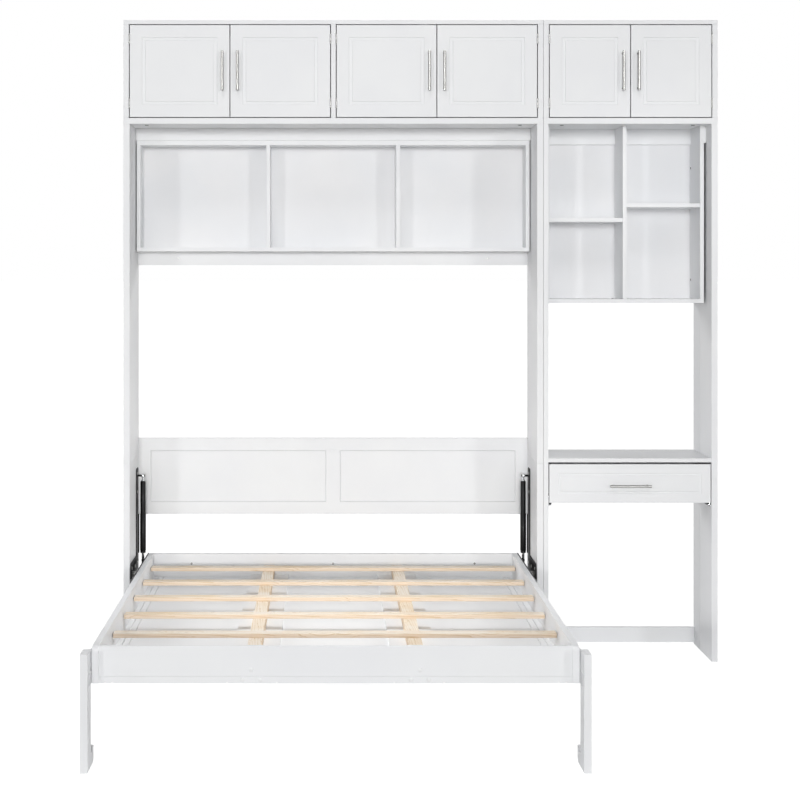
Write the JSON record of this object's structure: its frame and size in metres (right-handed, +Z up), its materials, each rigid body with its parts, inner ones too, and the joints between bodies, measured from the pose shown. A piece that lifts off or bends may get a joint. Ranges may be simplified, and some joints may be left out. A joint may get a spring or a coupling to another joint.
{
  "type": "wall bed with cabinet and desk",
  "caption": "White wall bed with a slatted fold-down frame on gas struts, a desk with drawer and hutch beside it, and cupboards across the top",
  "frame": {"origin": "on the floor in the middle of the footprint with the bed down", "axes": "X to the right seen from the front, Y to the wall, Z up"},
  "size_m": [2.2008, 2.04, 2.377],
  "materials": {
    "white_board": "satin",
    "white_back": "satin",
    "white_plastic": "gloss",
    "pine": "matte",
    "black_steel": "satin",
    "white_steel": "satin",
    "strut_black": "gloss",
    "nickel": "satin",
    "bright_steel": "polished"
  },
  "bodies": {
    "root": {"bed_side_left": "white_board", "bed_side_right": "white_board", "overhead_rail": "white_board", "rear_cleats": "white_board", "headboard": "white_board", "bookshelf_boards": "white_board", "bookshelf_uprights": "white_board", "desk_side_left": "white_board", "desk_side_right": "white_board", "hutch_case": "white_board", "hutch_divider": "white_board", "hutch_shelves": "white_board", "desktop": "white_board", "floor_stretcher": "white_board", "cupboard_boards": "white_board", "bed_cupboard_uprights": "white_board", "desk_cupboard_sides": "white_board", "back_panels": "white_back", "hinge_frames": "nickel", "door_catches": "white_plastic", "strut_plates": "black_steel", "pivot_pins": "nickel", "slide_channels": "black_steel", "case_fixings": "black_steel"},
    "bed": {"bed_rails": "white_board", "head_rail": "white_board", "foot_rail": "white_board", "face_panel": "white_board", "slat_bars": "pine", "slats": "pine", "bed_plates": "black_steel", "bed_screws": "nickel"},
    "leg_left": {"leg_left": "white_board", "leg_left_plate": "white_steel"},
    "leg_right": {"leg_right": "white_board", "leg_right_plate": "white_steel"},
    "strut_cylinder_left": {"strut_cylinder_left": "strut_black"},
    "strut_rod_left": {"strut_rod_left": "bright_steel"},
    "strut_cylinder_right": {"strut_cylinder_right": "strut_black"},
    "strut_rod_right": {"strut_rod_right": "bright_steel"},
    "bed_door_1": {"bed_door_1": "white_board", "bed_door_1_hardware": "nickel"},
    "bed_door_2": {"bed_door_2": "white_board", "bed_door_2_hardware": "nickel"},
    "bed_door_3": {"bed_door_3": "white_board", "bed_door_3_hardware": "nickel"},
    "bed_door_4": {"bed_door_4": "white_board", "bed_door_4_hardware": "nickel"},
    "desk_door_1": {"desk_door_1": "white_board", "desk_door_1_hardware": "nickel"},
    "desk_door_2": {"desk_door_2": "white_board", "desk_door_2_hardware": "nickel"},
    "drawer": {"drawer_front": "white_board", "drawer_box": "white_board", "drawer_bottom": "white_board", "drawer_pull": "nickel", "drawer_members": "black_steel"},
    "slide_runner": {"slide_runners": "bright_steel"}
  },
  "joints": [
    {"name": "bed_fold", "type": "hinge", "parent": "root", "child": "bed", "pos_m": [-0.3229, 0.725, 0.315], "axis": [-1, 0, 0], "range_deg": [0, 90]},
    {"name": "leg_left_turn", "type": "hinge", "parent": "bed", "child": "leg_left", "pos_m": [-1.05065, -0.922, 0.335], "axis": [1, 0, 0], "range_deg": [0, 90]},
    {"name": "strut_left_swing", "type": "hinge", "parent": "root", "child": "strut_cylinder_left", "pos_m": [-1.0534, 0.935, 0.661], "axis": [-1, 0, 0], "range_deg": [0, 19.8]},
    {"name": "strut_left_extend", "type": "slide", "parent": "strut_cylinder_left", "child": "strut_rod_left", "axis": [0, 0, -1], "range_m": [0, 0.2565]},
    {"name": "leg_right_turn", "type": "hinge", "parent": "bed", "child": "leg_right", "pos_m": [0.40485, -0.922, 0.335], "axis": [1, 0, 0], "range_deg": [0, 90]},
    {"name": "strut_right_swing", "type": "hinge", "parent": "root", "child": "strut_cylinder_right", "pos_m": [0.4076, 0.935, 0.661], "axis": [-1, 0, 0], "range_deg": [0, 19.8]},
    {"name": "strut_right_extend", "type": "slide", "parent": "strut_cylinder_right", "child": "strut_rod_right", "axis": [0, 0, -1], "range_m": [0, 0.2565]},
    {"name": "bed_door_1_hinge", "type": "hinge", "parent": "root", "child": "bed_door_1", "pos_m": [-1.0789, 0.6473, 2.1885], "axis": [0, 0, -1], "range_deg": [0, 105]},
    {"name": "bed_door_2_hinge", "type": "hinge", "parent": "root", "child": "bed_door_2", "pos_m": [-0.3334, 0.6473, 2.1885], "axis": [0, 0, 1], "range_deg": [0, 85]},
    {"name": "bed_door_3_hinge", "type": "hinge", "parent": "root", "child": "bed_door_3", "pos_m": [-0.3124, 0.6473, 2.1885], "axis": [0, 0, -1], "range_deg": [0, 85]},
    {"name": "bed_door_4_hinge", "type": "hinge", "parent": "root", "child": "bed_door_4", "pos_m": [0.4331, 0.6473, 2.1885], "axis": [0, 0, 1], "range_deg": [0, 85]},
    {"name": "desk_door_1_hinge", "type": "hinge", "parent": "root", "child": "desk_door_1", "pos_m": [0.4769, 0.6473, 2.1885], "axis": [0, 0, -1], "range_deg": [0, 85]},
    {"name": "desk_door_2_hinge", "type": "hinge", "parent": "root", "child": "desk_door_2", "pos_m": [1.0789, 0.6473, 2.1885], "axis": [0, 0, 1], "range_deg": [0, 105]},
    {"name": "drawer_slide", "type": "slide", "parent": "root", "child": "drawer", "axis": [0, -1, 0], "range_m": [0, 0.28]},
    {"name": "runner_slide", "type": "slide", "parent": "root", "child": "slide_runner", "axis": [0, -1, 0], "range_m": [0, 0.14]}
  ],
  "couplings": [
    {"joint": "leg_left_turn", "follows": "bed_fold", "ratio": 1},
    {"joint": "strut_left_swing", "follows": "bed_fold", "ratio": 0.2178},
    {"joint": "strut_left_extend", "follows": "bed_fold", "m_per_rad": 0.1631},
    {"joint": "leg_right_turn", "follows": "bed_fold", "ratio": 1},
    {"joint": "strut_right_swing", "follows": "bed_fold", "ratio": 0.2178},
    {"joint": "strut_right_extend", "follows": "bed_fold", "m_per_rad": 0.1631},
    {"joint": "runner_slide", "follows": "drawer_slide", "ratio": 0.5}
  ]
}
